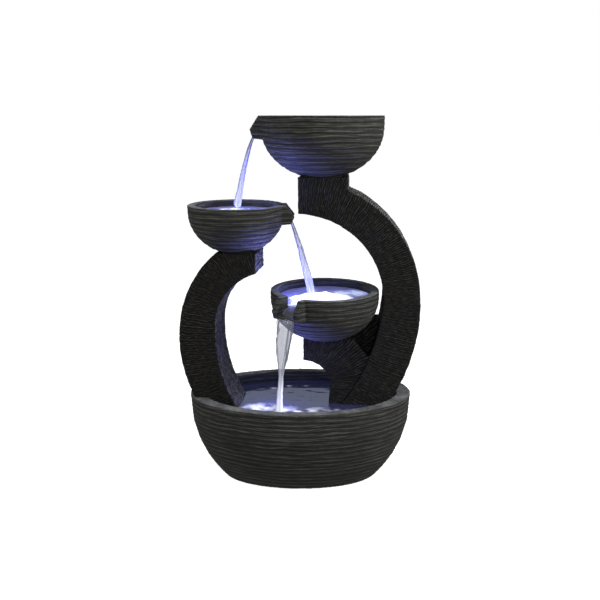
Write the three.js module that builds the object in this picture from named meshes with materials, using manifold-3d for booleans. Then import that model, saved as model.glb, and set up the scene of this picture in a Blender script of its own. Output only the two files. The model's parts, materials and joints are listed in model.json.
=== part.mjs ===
// Tiered garden fountain: an oval basin, two C-shaped columns and a bracket carry three bowls, and
// each bowl pours from its spout into the next one down. A pump in the right column's foot lifts
// the water through a hose to the top bowl; sealed lamps light the two lower bowls and the basin.
// Millimetres, +Z up, -Y is the front, and the origin is on the ground under the basin's middle.
import * as THREE from "three";
import { mergeVertices } from "three/addons/utils/BufferGeometryUtils.js";
import Module from "manifold-3d";

const wasm = await Module();
wasm.setup();

const GAP = 0.3; // left between pieces that touch
const MARGIN = 5; // how far a cutting shape reaches past what it cuts
const fountain = new THREE.Group();

// Basin: an oval cup whose wall swells outwards from a flat base.
const BASIN = {
  height: 198,
  rimHalfLength: 247,
  footHalfLength: 172,
  footNarrowing: 83, // half-length less half-width at the base
  rimNarrowing: 99.5, // the same at the rim
  swell: 2.4, // exponent of the wall's curve
  floor: 14,
  rimEndWidth: 31, // the rim's flat top is broadest at the basin's ends
  rimSideWidth: 20,
  rimDepth: 20,
  wall: 10,
};

// Columns: upright C-shaped bands, drawn in a plane (u across, z up) and swept through their depth.
// u runs away from the hollow side, so the left column is the mirror image of its own drawing.
const RIGHT_COLUMN = {
  place: { x: 149, y: -35, turn: 4.5 },
  mirror: 1,
  depth: 108,
  top: 675,
  hollow: { upper: { u: -158.4, z: 411.7, r: 187.7 }, lower: { u: -411.8, z: 439.2, r: 441.5 } },
  back: { upper: { u: -151.3, z: 411.2, r: 258.7 }, lower: { u: -313.7, z: 402.1, r: 422.2 } },
  blockEnd: -155,
  shoulder: -50,
  ankle: 100, // below this height the foot is upright
};
const LEFT_COLUMN = {
  place: { x: -146, y: -55, turn: 8 },
  mirror: -1,
  depth: 92,
  top: 520,
  hollow: { upper: { u: -90.5, z: 357.3, r: 127.7 }, lower: { u: -287.7, z: 343.2, r: 325.4 } },
  back: { upper: { u: -124.8, z: 335.9, r: 242.4 }, lower: { u: -173.0, z: 329.1, r: 291.3 } },
  blockEnd: -52.6,
  ankle: 90,
};
const COLUMN_WALL = 6;
const BASIN_FLARE = 40; // clears all of a column that would lie outside the basin's wall
const SEAT_WALL = 9; // the top plate that a bowl stands on

// Bracket under the middle bowl, in the right column's plane.
const BRACKET = {
  front: 3,
  back: 93,
  top: 325,
  leftEnd: -143.6,
  arch: { u: -143, z: 212.5, r: 63 },
  archLeg: 185, // the arch ends at this height in an upright edge
  topRight: -36,
  slopeFoot: { u: -4, z: 287 },
  wall: 9,
  webFront: 32,
  webBack: 78,
  webTop: 364,
  boltAngles: [-23, -33], // degrees round the right column's lower hollow arc
  boltDepth: 70,
};
const BOLT = { radius: 3, holeRadius: 3.3, headRadius: 5.5, headHeight: 6.2, length: 14 };
const BOWL_ROOM = 1.5; // kept free between the bracket and the bowl above it

// Bowls: an upright rim band over a quarter-ellipse, with a spout on one side.
// `pours` is an angle in degrees from +X, and `scale` is the size of its spout.
const TOP_BOWL = {
  x: 46,
  y: 22,
  rim: 800,
  radius: 130,
  band: 25,
  foot: 50,
  seat: 675,
  pours: 180,
  scale: 1,
};
const LEFT_BOWL = {
  x: -135.5,
  y: -12,
  rim: 618.5,
  radius: 102,
  band: 14,
  foot: 44,
  seat: 520,
  pours: 0,
  scale: 0.83,
};
const MIDDLE_BOWL = {
  x: 53,
  y: 0,
  rim: 432.6,
  radius: 118.3,
  band: 18,
  foot: 48,
  seat: 325,
  pours: -128.5,
  scale: 0.95,
};
const BOWL_RIM_WIDTH = 16;
const BOWL_FLOOR = 10;
const BOWL_FLAT = 30; // radius of the level floor inside
const GASKET = 2;
const SPOUT_WIDTH = 72;
const CHANNEL_WIDTH = 44;

// Pump, in the right column's plane; its rotor turns about the depth axis.
const PUMP = { u: -81, front: 10, length: 52, width: 46, height: 44, bottom: 22 };
const ROTOR_RADIUS = 11;
const SHAFT_RADIUS = 2;
const HOSE = { radius: 8, bore: 6.3, straight: 11, clamp: 7 };
const BARB_RADIUS = 5.6;
const LEAD_RADIUS = 2.5;
const STEM_RADIUS = 7; // lamp stems
const LAMP_RADIUS = 17;
const INLET_RADIUS = 9;
const INLET = { bore: 4, flangeRadius: 16, flangeHeight: 4, sealHeight: 2 };

// ---------- solids ----------

// The manifold solid of a closed three.js geometry.
function solid(geometry, matrix = new THREE.Matrix4()) {
  const bare = geometry.clone().applyMatrix4(matrix);
  bare.deleteAttribute("normal");
  bare.deleteAttribute("uv");
  const merged = mergeVertices(bare, 1e-3);
  return new wasm.Manifold(
    new wasm.Mesh({
      numProp: 3,
      vertProperties: merged.attributes.position.array,
      triVerts: new Uint32Array(merged.index.array),
    }),
  );
}

// The three.js geometry of a manifold solid.
function geometryOf(made) {
  const mesh = made.getMesh();
  const geometry = new THREE.BufferGeometry();
  geometry.setAttribute("position", new THREE.BufferAttribute(mesh.vertProperties, 3));
  geometry.setIndex(new THREE.BufferAttribute(mesh.triVerts, 1));
  geometry.computeVertexNormals();
  return geometry;
}

// `body` joined with `added` and cut by `removed`, all closed geometries.
function carve(body, added, removed) {
  const joined = added.reduce((sum, geometry) => sum.add(solid(geometry)), solid(body));
  return geometryOf(removed.reduce((rest, geometry) => rest.subtract(solid(geometry)), joined));
}

function addNode(group, name, geometry, material) {
  const mesh = new THREE.Mesh(geometry, material);
  mesh.name = name;
  group.add(mesh);
  return mesh;
}

// ---------- shapes ----------

const radians = THREE.MathUtils.degToRad;
const point = (u, z) => new THREE.Vector2(u, z);
const heightAngle = (circle, z) => Math.asin((z - circle.z) / circle.r);
const acrossAngle = (circle, u) => Math.acos((u - circle.u) / circle.r);
const grown = (circle, by) => ({ ...circle, r: circle.r + by });
const meeting = (pair) => (pair.upper.z + pair.lower.z) / 2;

// Points along a circle between two angles, ends included.
function arc(circle, from, to, steps) {
  return Array.from({ length: steps + 1 }, (_, i) => {
    const angle = from + ((to - from) * i) / steps;
    return point(circle.u + circle.r * Math.cos(angle), circle.z + circle.r * Math.sin(angle));
  });
}

// A body of revolution about +Z; the profile is [radius, height] pairs, upwards on the outside.
function turned(profile, segments = 24) {
  const points = profile.map(([radius, height]) => new THREE.Vector2(radius, height));
  return new THREE.LatheGeometry(points, segments).rotateX(Math.PI / 2);
}

const disc = (radius, low, high, segments) =>
  turned([[0, low], [radius, low], [radius, high], [0, high]], segments);

const ring = (inner, outer, low, high, segments) =>
  turned([[inner, low], [outer, low], [outer, high], [inner, high], [inner, low]], segments);

// A drawing in (u, z) swept in depth from `near` to `far`.
function swept(points, near, far) {
  const shape = new THREE.Shape(points);
  const geometry = new THREE.ExtrudeGeometry(shape, { depth: far - near, bevelEnabled: false });
  return geometry.rotateX(Math.PI / 2).translate(0, far, 0);
}

function box(low, high) {
  const size = high.map((value, i) => value - low[i]);
  return new THREE.BoxGeometry(...size).translate(...low.map((value, i) => value + size[i] / 2));
}

// A round section carried along a curve; a positive bore makes it hollow.
function tube(curve, radius, bore, steps, sides) {
  const section = new THREE.Shape().absarc(0, 0, radius, 0, 2 * Math.PI, false);
  if (bore) section.holes.push(new THREE.Path().absarc(0, 0, bore, 0, 2 * Math.PI, true));
  const curveSegments = sides / 2; // three.js gives a full circle twice as many
  const options = { steps, curveSegments, extrudePath: curve, bevelEnabled: false };
  return new THREE.ExtrudeGeometry(section, options);
}

// ---------- materials ----------

function material(color, roughness, metalness = 0) {
  return new THREE.MeshStandardMaterial({ color, roughness, metalness });
}
const darkResin = () => material(0x25262a, 0.85);
const bowlResin = () => material(0x3a3b3e, 0.8);
const blackRubber = () => material(0x141414, 0.9);
const blackPlastic = () => material(0x1b1c1e, 0.5);
const steel = () => material(0xa9adb2, 0.3, 1);
const clearPlastic = () => material(0xdfe8ff, 0.1);
const hosePlastic = () => material(0xcfd6da, 0.35);

// ---------- places ----------

function groupAt(place) {
  const group = new THREE.Group();
  group.position.set(place.x, place.y, 0);
  group.rotation.z = -radians(place.turn);
  group.updateMatrix();
  fountain.add(group);
  return group;
}

const rightSide = groupAt(RIGHT_COLUMN.place);
const leftSide = groupAt(LEFT_COLUMN.place);
const toWorld = (group, u, v, z) => new THREE.Vector3(u, v, z).applyMatrix4(group.matrix);
const toLocal = (group, x, y) =>
  new THREE.Vector3(x, y, 0).applyMatrix4(group.matrix.clone().invert());

// ---------- basin ----------

const basinHalfLength = (z) =>
  BASIN.footHalfLength +
  (BASIN.rimHalfLength - BASIN.footHalfLength) * (1 - (1 - z / BASIN.height) ** BASIN.swell);

const basinNarrowing = (z) =>
  THREE.MathUtils.lerp(BASIN.footNarrowing, BASIN.rimNarrowing, Math.min(1, z / BASIN.height));

// The basin's shell with every face moved out by `spare`, and its outside moved out by `flare`
// more: a body of revolution, then narrowed to an oval.
function basinShell(spare, flare = 0) {
  const outside = [0, 12, 32, 58, 92, 136, BASIN.height]; // closer together where it curves more
  const inside = [BASIN.height - BASIN.rimDepth - 12, 130, 92, 60, 36, BASIN.floor];
  const rimInner = BASIN.rimHalfLength - BASIN.rimEndWidth - spare;
  const rimInnerNarrowing = BASIN.rimNarrowing - BASIN.rimEndWidth + BASIN.rimSideWidth;
  const profile = [
    [0, -spare],
    ...outside.slice(0, -1).map((z) => [basinHalfLength(z) + spare + flare, z === 0 ? -spare : z]),
    [BASIN.rimHalfLength + spare + flare, BASIN.height + spare],
    [rimInner, BASIN.height + spare],
    [rimInner, BASIN.height - BASIN.rimDepth],
    ...inside.map((z) => [basinHalfLength(z) - BASIN.wall - spare, z + (z === BASIN.floor ? spare : 0)]),
    [0, BASIN.floor + spare],
  ];
  const shell = turned(profile, 48);
  const position = shell.attributes.position;
  for (let i = 0; i < position.count; i++) {
    const radius = Math.hypot(position.getX(i), position.getY(i));
    const onAxis = radius < 1;
    const onRimInner = Math.abs(radius - rimInner) < 0.01;
    const narrowing = onRimInner ? rimInnerNarrowing : basinNarrowing(position.getZ(i));
    position.setY(i, position.getY(i) * (onAxis ? 1 : 1 - narrowing / radius));
  }
  return shell;
}

const CABLE_HOLE = { x: 105, z: 187, radius: 6.2, near: 104, far: 142 };
const GROMMET = { near: 111, length: 26 };

function alongDepth(geometry, x, y, z) {
  return geometry.rotateX(-Math.PI / 2).translate(x, y, z);
}

function makeBasin() {
  const hole = alongDepth(
    disc(CABLE_HOLE.radius, 0, CABLE_HOLE.far - CABLE_HOLE.near, 16),
    CABLE_HOLE.x,
    CABLE_HOLE.near,
    CABLE_HOLE.z,
  );
  addNode(fountain, "basin", carve(basinShell(0), [], [hole]), bowlResin());
  const sleeve = ring(LEAD_RADIUS + 2 * GAP, CABLE_HOLE.radius - GAP, 0, GROMMET.length, 16);
  alongDepth(sleeve, CABLE_HOLE.x, GROMMET.near, CABLE_HOLE.z);
  addNode(fountain, "cable_grommet", sleeve, blackRubber());
}

// ---------- columns ----------

// The column's outline moved in by `inset`; `base` is the height of its lower end.
function columnOutline(column, inset, topInset, base) {
  const hollow = { upper: grown(column.hollow.upper, inset), lower: grown(column.hollow.lower, inset) };
  const back = { upper: grown(column.back.upper, -inset), lower: grown(column.back.lower, -inset) };
  const top = column.top - topInset;
  const end = column.blockEnd + inset;
  const hollowMeets = meeting(hollow);
  const backMeets = meeting(back);
  const shoulder = column.shoulder === undefined ? undefined : column.shoulder - inset;
  const backTop =
    shoulder === undefined ? heightAngle(back.upper, top) : acrossAngle(back.upper, shoulder);
  const hollowAngle = (circle, z) => heightAngle(hollow[circle], z);
  const backAngle = (circle, z) => heightAngle(back[circle], z);
  const footHollow = arc(
    hollow.lower,
    hollowAngle("lower", column.ankle),
    hollowAngle("lower", hollowMeets),
    10,
  );
  const footBack = arc(back.lower, backAngle("lower", backMeets), backAngle("lower", column.ankle), 10);
  return [
    point(footHollow[0].x, base),
    ...footHollow,
    ...arc(hollow.upper, hollowAngle("upper", hollowMeets), acrossAngle(hollow.upper, end), 12),
    point(end, top),
    ...(shoulder === undefined ? [] : [point(shoulder, top)]),
    ...arc(back.upper, backTop, backAngle("upper", backMeets), 12),
    ...footBack,
    point(footBack.at(-1).x, base),
  ].map((p) => point(p.x * column.mirror, p.y));
}

// A hollow cast column, open at the foot and shaped to stand in the basin.
function makeColumn(name, column, group, cuts) {
  const body = swept(columnOutline(column, 0, 0, BASIN.floor + GAP), 0, column.depth);
  const core = swept(
    columnOutline(column, COLUMN_WALL, SEAT_WALL, BASIN.floor - MARGIN),
    COLUMN_WALL,
    column.depth - COLUMN_WALL,
  );
  const basinHere = basinShell(GAP, BASIN_FLARE).applyMatrix4(group.matrix.clone().invert());
  addNode(group, name, carve(body, [], [core, basinHere, ...cuts]), darkResin());
}

// The hole under a bowl's middle for its lamp's stem or its water inlet.
function stemHole(group, bowl, radius) {
  const local = toLocal(group, bowl.x, bowl.y);
  const hole = disc(radius, bowl.seat - 2 * SEAT_WALL, bowl.seat + MARGIN, 20);
  return hole.translate(local.x, local.y, 0);
}

// The stretch of the right column's lower band between two heights, moved in by `inset`.
function bandStretch(inset, low, high) {
  const hollow = grown(RIGHT_COLUMN.hollow.lower, inset);
  const back = grown(RIGHT_COLUMN.back.lower, -inset);
  return [
    ...arc(hollow, heightAngle(hollow, low), heightAngle(hollow, high), 4),
    ...arc(back, heightAngle(back, high), heightAngle(back, low), 4),
  ];
}

const DOOR = { low: 210, high: 290, inset: 16, thickness: 4, ledge: 11, screwInset: 5.5 };
const DOOR_LIP = 4; // how much narrower the opening behind the door is, on each side
const DOOR_SCREW = { radius: 1.5, length: 8, holeRadius: 1.8 };
const WINDOW = { low: [-36, 40, 230], high: [-4, 60, 250] }; // lets the middle lamp's lead through
const RIGHT_NOTCH = { low: [-140, 46, 0], high: [-117, 84, 32] }; // lets leads in at the foot
const LEFT_NOTCH = { low: [70, 32, 0], high: [95, 58, 32] };
const TRUNK_HOLE = { u: -60, z: 118, radius: 5 }; // where the lead out leaves the column's back
const doorScrewHeights = { lower: DOOR.low + DOOR.screwInset, upper: DOOR.high - DOOR.screwInset };

function bandMiddle(z) {
  const { hollow, back } = RIGHT_COLUMN;
  const edge = (circle) => circle.u + circle.r * Math.cos(heightAngle(circle, z));
  return (edge(hollow.lower) + edge(back.lower)) / 2;
}

function doorScrewHole(z) {
  const depth = 2 * DOOR.thickness + MARGIN;
  const hole = disc(DOOR_SCREW.holeRadius, 0, depth, 12);
  return alongDepth(hole, bandMiddle(z), RIGHT_COLUMN.depth - depth, z);
}

function makeRightColumn() {
  const { depth } = RIGHT_COLUMN;
  const rebate = swept(
    bandStretch(DOOR.inset, DOOR.low, DOOR.high),
    depth - DOOR.thickness - GAP,
    depth + MARGIN,
  );
  const opening = swept(
    bandStretch(DOOR.inset + DOOR_LIP, DOOR.low + DOOR.ledge, DOOR.high - DOOR.ledge),
    depth - COLUMN_WALL - MARGIN,
    depth + MARGIN,
  );
  const trunkHole = disc(TRUNK_HOLE.radius, 0, 4 * MARGIN, 12);
  const cuts = [
    rebate,
    opening,
    box(RIGHT_NOTCH.low, RIGHT_NOTCH.high),
    alongDepth(trunkHole, TRUNK_HOLE.u, depth - 3 * MARGIN, TRUNK_HOLE.z),
    box(WINDOW.low, WINDOW.high),
    stemHole(rightSide, TOP_BOWL, INLET_RADIUS + GAP),
    ...Object.values(doorScrewHeights).map(doorScrewHole),
    ...boltHoles(),
  ];
  makeColumn("right_column", RIGHT_COLUMN, rightSide, cuts);
}

function makeAccessDoor() {
  const { depth } = RIGHT_COLUMN;
  const play = 2 * GAP;
  const outline = bandStretch(DOOR.inset + play, DOOR.low + play, DOOR.high - play);
  const panel = swept(outline, depth - DOOR.thickness, depth);
  const holes = Object.values(doorScrewHeights).map(doorScrewHole);
  addNode(rightSide, "pump_access_door", carve(panel, [], holes), darkResin());
  const { radius, length } = DOOR_SCREW;
  for (const [which, z] of Object.entries(doorScrewHeights)) {
    const screw = turned(
      [
        [0, 0],
        [radius, 0],
        [radius, length],
        [radius + 2, length],
        [radius + 2, length + 1.6],
        [radius + 0.9, length + 2.4],
        [0, length + 2.4],
      ],
      12,
    );
    alongDepth(screw, bandMiddle(z), depth - length + GAP, z);
    addNode(rightSide, `door_screw_${which}`, screw, steel());
  }
}

function makeLeftColumn() {
  const notch = box(LEFT_NOTCH.low, LEFT_NOTCH.high);
  const hole = stemHole(leftSide, LEFT_BOWL, STEM_RADIUS + GAP);
  makeColumn("left_column", LEFT_COLUMN, leftSide, [notch, hole]);
}

// ---------- bracket ----------

// Turns a piece whose axis is +Z to point out of the right column's hollow face at `angle`.
function onBandNormal(geometry, angle) {
  const { u, z, r } = RIGHT_COLUMN.hollow.lower;
  return geometry
    .rotateY(Math.PI / 2 - angle)
    .translate(u + r * Math.cos(angle), BRACKET.boltDepth, z + r * Math.sin(angle));
}

const boltHoles = () =>
  BRACKET.boltAngles.map((angle) => {
    const hole = disc(BOLT.holeRadius, -BOLT.length - 1, 2 * SEAT_WALL, 12);
    return onBandNormal(hole, radians(angle));
  });

// The bracket's outline moved in by `inset`: a seat, an arch below it, and towards the column a
// curve that reaches `sideReach` past the column's own face.
function bracketOutline(inset, sideReach) {
  const arch = grown(BRACKET.arch, inset);
  const side = grown(RIGHT_COLUMN.hollow.lower, sideReach);
  const left = BRACKET.leftEnd + inset;
  const legAngle = heightAngle(BRACKET.arch, BRACKET.archLeg);
  const leg = arch.u + BRACKET.arch.r * Math.cos(legAngle) + inset;
  return [
    point(left, BRACKET.top - inset),
    ...arc(arch, acrossAngle(arch, left), -acrossAngle(arch, leg), 10),
    ...arc(side, -acrossAngle(side, leg), heightAngle(side, BRACKET.slopeFoot.z), 6),
    point(BRACKET.slopeFoot.u - inset, BRACKET.slopeFoot.z),
    point(BRACKET.topRight - inset, BRACKET.top - inset),
  ];
}

// A thinner web that ties the seat to the column, set back from the front.
function bracketWeb() {
  const side = grown(RIGHT_COLUMN.hollow.lower, MARGIN);
  const overlap = 20; // how deep the web is let into the seat
  const leftEnd = BRACKET.topRight - 30;
  const lowAngle = heightAngle(side, BRACKET.slopeFoot.z - overlap);
  const outline = [
    point(leftEnd, BRACKET.top - overlap),
    ...arc(side, lowAngle, heightAngle(side, BRACKET.webTop), 4),
    point(BRACKET.topRight, BRACKET.webTop),
    point(leftEnd, BRACKET.top),
  ];
  return swept(outline, BRACKET.webFront, BRACKET.webBack);
}

function makeBracket() {
  const { front, back, wall } = BRACKET;
  const local = toLocal(rightSide, MIDDLE_BOWL.x, MIDDLE_BOWL.y);
  const body = swept(bracketOutline(0, MARGIN), front, back);
  const core = swept(bracketOutline(wall, -wall), front + wall, back - wall);
  const columnHere = columnOutline(RIGHT_COLUMN, -GAP, -GAP, BASIN.floor);
  const cuts = [
    swept(columnHere, -MARGIN, RIGHT_COLUMN.depth),
    core,
    bowlOutside(MIDDLE_BOWL, BOWL_ROOM).translate(local.x, local.y, 0),
    disc(MIDDLE_BOWL.foot + 8, BRACKET.top, BRACKET.webTop, 32).translate(local.x, local.y, 0),
    box(WINDOW.low, WINDOW.high),
    stemHole(rightSide, MIDDLE_BOWL, STEM_RADIUS + GAP),
    ...boltHoles(),
  ];
  addNode(rightSide, "middle_bracket", carve(body, [bracketWeb()], cuts), darkResin());
  BRACKET.boltAngles.forEach((angle, i) => {
    const headLow = COLUMN_WALL + GAP;
    const headHigh = headLow + BOLT.headHeight;
    const bolt = turned(
      [
        [0, -BOLT.length],
        [BOLT.radius, -BOLT.length],
        [BOLT.radius, headLow],
        [BOLT.headRadius, headLow],
        [BOLT.headRadius, headHigh],
        [0, headHigh],
      ],
      12,
    );
    addNode(rightSide, `bracket_bolt_${i + 1}`, onBandNormal(bolt, radians(angle)), steel());
  });
}

// ---------- bowls ----------

const bowlFootHeight = (bowl) => bowl.seat + GASKET + 2 * GAP;

// Quarter-ellipse from the foot's edge up to the rim band, as [radius, height] pairs.
function bowlCurve(radius, footRadius, bandHeight, footHeight, steps) {
  const footAngle = Math.acos(footRadius / radius);
  const depth = (bandHeight - footHeight) / Math.sin(footAngle);
  return Array.from({ length: steps + 1 }, (_, i) => {
    const angle = footAngle * (1 - i / steps);
    return [radius * Math.cos(angle), bandHeight - depth * Math.sin(angle)];
  });
}

const BOWL_SEGMENTS = 36;

// The bowl's outside as a full body, grown by `spare`, about the bowl's own axis.
function bowlOutside(bowl, spare = 0) {
  const foot = bowlFootHeight(bowl) - spare;
  const radius = bowl.radius + spare;
  const top = bowl.rim + spare;
  const curve = bowlCurve(radius, bowl.foot, bowl.rim - bowl.band, foot, 7);
  return turned([[0, foot], ...curve, [radius, top], [0, top]], BOWL_SEGMENTS);
}

function bowlInside(bowl) {
  const floor = bowlFootHeight(bowl) + BOWL_FLOOR;
  const radius = bowl.radius - BOWL_RIM_WIDTH;
  const top = bowl.rim + MARGIN;
  const curve = bowlCurve(radius, BOWL_FLAT, bowl.rim - bowl.band, floor, 7);
  return turned([[0, floor], ...curve, [radius, top], [0, top]], BOWL_SEGMENTS);
}

// The spout's side view, from its top edge round the tip and lip to where it meets the bowl.
// Here u is the distance from the bowl's own axis.
function spoutSide(bowl) {
  const { radius, rim, scale } = bowl;
  const root = radius - 24; // hidden inside the bowl's wall
  const under = rim - 49 * scale;
  return [
    point(root, rim),
    point(radius + 3, rim),
    point(radius + 21, rim - 28 * scale),
    point(radius + 15, rim - 46 * scale),
    point(radius - 10, under),
    point(root, under),
  ];
}

// The water's way through the spout: level across the wall, then down to the lip.
function channelSide(bowl) {
  const { radius, rim, scale } = bowl;
  const start = radius - 40;
  const end = radius + 30; // past the spout's tip
  return [
    point(start, rim + MARGIN),
    point(start, rim - 26 * scale),
    point(radius - 12, rim - 28 * scale),
    point(end, rim - 43 * scale),
    point(end, rim + MARGIN),
  ];
}

function makeBowl(name, bowl, holeRadius) {
  const group = groupAt({ x: bowl.x, y: bowl.y, turn: -bowl.pours });
  const halfSpout = (SPOUT_WIDTH / 2) * bowl.scale;
  const halfChannel = (CHANNEL_WIDTH / 2) * bowl.scale;
  const cuts = [
    bowlInside(bowl),
    swept(channelSide(bowl), -halfChannel, halfChannel),
    disc(holeRadius, bowl.seat, bowl.seat + 3 * BOWL_FLOOR, 20),
  ];
  const shell = carve(bowlOutside(bowl), [swept(spoutSide(bowl), -halfSpout, halfSpout)], cuts);
  addNode(group, name, shell, bowlResin());
  const gasketLow = bowl.seat + GAP;
  const gasket = ring(holeRadius + 1, bowl.foot - 6, gasketLow, gasketLow + GASKET, 32);
  addNode(group, `${name}_gasket`, gasket, blackRubber());
}

// ---------- lamps ----------

// A hexagonal nut: a six-sided ring whose hole clears a round stem. `corner` is its outer radius.
function nut(stem, corner, low, high) {
  return ring((stem + GAP) / Math.cos(Math.PI / 6), corner, low, high, 6);
}

// A shallow dome that stands at height `low`.
function lampLens(low) {
  return turned(
    [
      [0, low],
      [LAMP_RADIUS - 3, low],
      [LAMP_RADIUS - 3.5, low + 3],
      [LAMP_RADIUS - 8, low + 6],
      [0, low + 7],
    ],
    20,
  );
}

// A sealed lamp whose stem clamps its bowl and gasket to the seat below.
function makeBowlLamp(name, bowl) {
  const group = groupAt({ x: bowl.x, y: bowl.y, turn: 0 });
  const floor = bowlFootHeight(bowl) + BOWL_FLOOR + GAP;
  const flangeTop = floor + 6;
  const plate = bowl.seat - SEAT_WALL;
  const stemEnd = plate - 10;
  const body = turned(
    [
      [0, stemEnd],
      [STEM_RADIUS, stemEnd],
      [STEM_RADIUS, floor],
      [LAMP_RADIUS, floor],
      [LAMP_RADIUS, flangeTop],
      [0, flangeTop],
    ],
    20,
  );
  const nutTop = plate - GAP;
  addNode(group, `${name}_lamp_body`, body, blackPlastic());
  addNode(group, `${name}_lamp_lens`, lampLens(flangeTop + GAP), clearPlastic());
  addNode(group, `${name}_lamp_nut`, nut(STEM_RADIUS, 2 * STEM_RADIUS, nutTop - 6, nutTop), blackPlastic());
  return stemEnd;
}

const BASIN_LAMP = { x: -20, y: -46, height: 12 };

function makeBasinLamp() {
  const group = groupAt({ ...BASIN_LAMP, turn: 0 });
  const low = BASIN.floor + GAP;
  const top = low + BASIN_LAMP.height;
  addNode(group, "basin_lamp_body", disc(LAMP_RADIUS, low, top, 20), blackPlastic());
  addNode(group, "basin_lamp_lens", lampLens(top + GAP), clearPlastic());
}

// ---------- pump ----------

const PUMP_AXIS_HEIGHT = PUMP.bottom + PUMP.height / 2 - 2;
const PUMP_TOP = PUMP.bottom + PUMP.height;
const PUMP_BACK = PUMP.front + PUMP.length;
const OUTLET_DEPTH = 36;
const CHAMBER_DEPTH = 34;
const CHAMBER_END = PUMP_BACK - CHAMBER_DEPTH;
const BEARING_DEPTH = 8; // of the blind bore beyond the rotor's chamber
const COVER = { depth: 12, wall: 3, slotWidth: 3, slotPitch: 8, border: 7 };
const KNOB = { depth: 20, height: 50, radius: 8, thickness: 4, stemRadius: 3 };
const BLADE = { length: 10, thickness: 1.6 };
const CUP = { radius: 9, neck: 4, across: 13, along: 16 };

// Puts a piece whose axis is +Z on the rotor's axis, starting at depth `v`.
const onRotorAxis = (geometry, v) => alongDepth(geometry, PUMP.u, v, PUMP_AXIS_HEIGHT);

function makePump() {
  const { u, front, width, bottom } = PUMP;
  const half = width / 2;
  const body = box([u - half, front, bottom], [u + half, PUMP_BACK, PUMP_TOP]);
  const barb = disc(BARB_RADIUS, PUMP_TOP - 1, PUMP_TOP + HOSE.straight, 12);
  barb.translate(u, OUTLET_DEPTH, 0);
  const chamber = onRotorAxis(disc(ROTOR_RADIUS + 1, 0, CHAMBER_DEPTH + MARGIN, 32), CHAMBER_END);
  const bearing = disc(SHAFT_RADIUS + GAP / 2, 0, BEARING_DEPTH + MARGIN, 24);
  onRotorAxis(bearing, CHAMBER_END - BEARING_DEPTH);
  const knobBore = disc(KNOB.stemRadius + GAP, 0, 8, 24).rotateY(Math.PI / 2);
  knobBore.translate(u - half - 1, KNOB.depth, KNOB.height);
  addNode(rightSide, "pump_housing", carve(body, [barb], [chamber, bearing, knobBore]), blackPlastic());
}

// A shaft, a magnet on it and three flat blades across its intake end.
function makeRotor() {
  const shaft = disc(SHAFT_RADIUS, 0, CHAMBER_DEPTH + MARGIN, 24);
  const magnet = disc(ROTOR_RADIUS - 1, 0, 18, 24);
  const bladeStart = CHAMBER_END + 19;
  const blades = [0, 1, 2].map((i) => {
    const blade = box(
      [-ROTOR_RADIUS, bladeStart, -BLADE.thickness / 2],
      [ROTOR_RADIUS, bladeStart + BLADE.length, BLADE.thickness / 2],
    );
    return blade.rotateY((i * Math.PI) / 3).translate(PUMP.u, 0, PUMP_AXIS_HEIGHT);
  });
  onRotorAxis(shaft, CHAMBER_END - BEARING_DEPTH + 1);
  onRotorAxis(magnet, CHAMBER_END + 2);
  addNode(rightSide, "pump_rotor", carve(magnet, [shaft, ...blades], []), steel());
}

// A slotted strainer, open towards the pump.
function makeIntakeCover() {
  const { u, width, bottom } = PUMP;
  const { depth, wall, slotWidth, slotPitch, border } = COVER;
  const half = width / 2;
  const near = PUMP_BACK + GAP;
  const cover = box([u - half, near, bottom], [u + half, near + depth, PUMP_TOP]);
  const inside = box(
    [u - half + wall, near - 1, bottom + wall],
    [u + half - wall, near + depth - wall, PUMP_TOP - wall],
  );
  const slots = [-2, -1, 0, 1, 2].map((i) => {
    const middle = u + i * slotPitch;
    return box(
      [middle - slotWidth / 2, near + 1, bottom + border],
      [middle + slotWidth / 2, near + depth + MARGIN, PUMP_TOP - border],
    );
  });
  addNode(rightSide, "pump_intake_cover", carve(cover, [], [inside, ...slots]), blackPlastic());
}

// A knob with a raised pointer, whose stem turns in the housing's side.
function makeRegulator() {
  const knob = disc(KNOB.radius, 0, KNOB.thickness, 20);
  const pointer = box([-1.5, KNOB.radius / 2, 1], [1.5, 1.5 * KNOB.radius, 3.5]);
  const stem = disc(KNOB.stemRadius, -6, 1, 24);
  const regulator = carve(knob, [pointer, stem], []).rotateY(-Math.PI / 2);
  regulator.translate(PUMP.u - PUMP.width / 2 - GAP, KNOB.depth, KNOB.height);
  addNode(rightSide, "flow_regulator", regulator, blackPlastic());
}

function makeSuctionCups() {
  const low = BASIN.floor + GAP;
  const high = PUMP.bottom - GAP;
  const middle = PUMP.front + PUMP.length / 2;
  [-1, 1].forEach((across, i) =>
    [-1, 1].forEach((along, j) => {
      const cup = turned(
        [
          [0, low],
          [CUP.radius, low],
          [CUP.radius - 1, low + 2],
          [CUP.neck, low + 4],
          [CUP.neck, high],
          [0, high],
        ],
        16,
      );
      cup.translate(PUMP.u + across * CUP.across, middle + along * CUP.along, 0);
      addNode(rightSide, `suction_cup_${2 * i + j + 1}`, cup, blackRubber());
    }),
  );
}

// ---------- water supply ----------

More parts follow.
